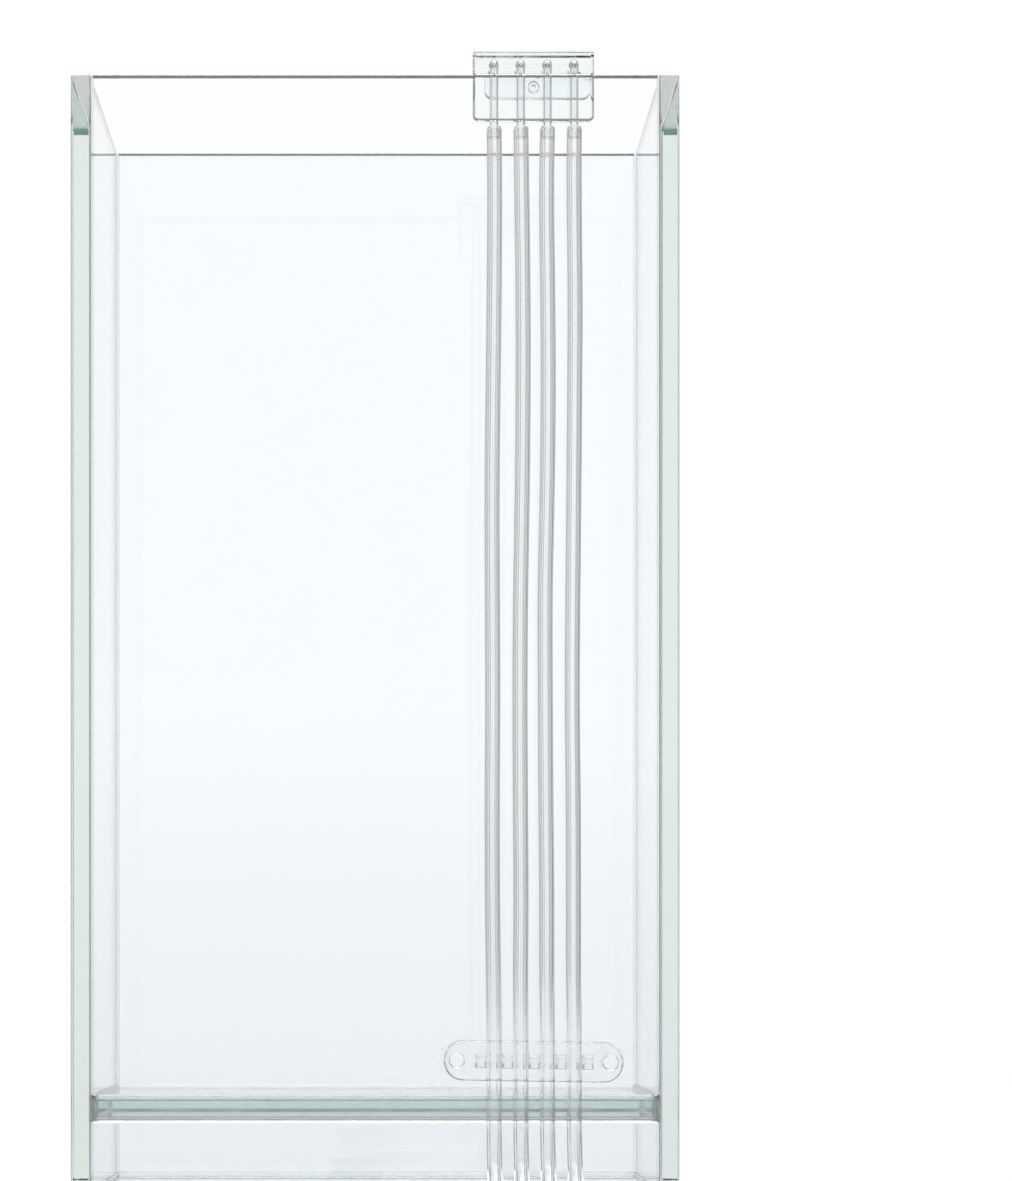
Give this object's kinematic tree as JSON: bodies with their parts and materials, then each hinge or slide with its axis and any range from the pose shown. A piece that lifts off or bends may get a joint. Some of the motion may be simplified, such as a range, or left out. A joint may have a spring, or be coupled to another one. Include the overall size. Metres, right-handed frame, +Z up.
{
  "type": "glass aquarium tank",
  "caption": "Tall open-topped glass tank with a sealed shelf near its base, air hoses hung over the front rim by a clear clamped saddle, and a suction-cup comb.",
  "frame": {"origin": "middle of the base plate's underside, on the table", "axes": "+X to the right along the hose side, +Y from the hose side to the back, +Z up"},
  "size_m": [0.24, 0.2891, 0.4585],
  "materials": {
    "glass": "polished float glass with bevelled, polished edges",
    "silicone": "clear sealant, satin",
    "hose": "translucent soft tube, smooth",
    "clear_plastic": "clear, polished",
    "soft_vinyl": "clear soft vinyl",
    "tie": "natural nylon"
  },
  "bodies": {
    "tank": {"base_plate": "glass", "front_wall": "glass", "back_wall": "glass", "left_wall": "glass", "right_wall": "glass", "shelf_plate": "glass", "corner_seam_front_left": "silicone", "corner_seam_front_right": "silicone", "corner_seam_back_left": "silicone", "corner_seam_back_right": "silicone", "base_seam": "silicone", "shelf_seam": "silicone", "hose_tail_1": "hose", "hose_tail_2": "hose", "hose_tail_3": "hose", "hose_tail_4": "hose", "hose_coil": "hose", "coil_tie": "tie"},
    "saddle": {"rail_saddle": "clear_plastic", "elbow_1": "clear_plastic", "elbow_2": "clear_plastic", "elbow_3": "clear_plastic", "elbow_4": "clear_plastic", "hose_1": "hose", "hose_2": "hose", "hose_3": "hose", "hose_4": "hose"},
    "clamp": {"clamp_screw": "clear_plastic"},
    "comb": {"comb_plate": "clear_plastic", "suction_cup_left": "soft_vinyl", "suction_cup_right": "soft_vinyl"}
  },
  "joints": [
    {"name": "saddle_lift", "type": "slide", "parent": "tank", "child": "saddle", "axis": [0, 0, 1], "range_m": [0, 0.03]},
    {"name": "clamp_screw_turn", "type": "hinge", "parent": "saddle", "child": "clamp", "pos_m": [0.0623, -0.0633, 0.444], "axis": [0, 1, 0], "range_deg": [0, 360]},
    {"name": "comb_shift", "type": "slide", "parent": "tank", "child": "comb", "axis": [0, 0, 1], "range_m": [-0.006, 0.3]}
  ]
}
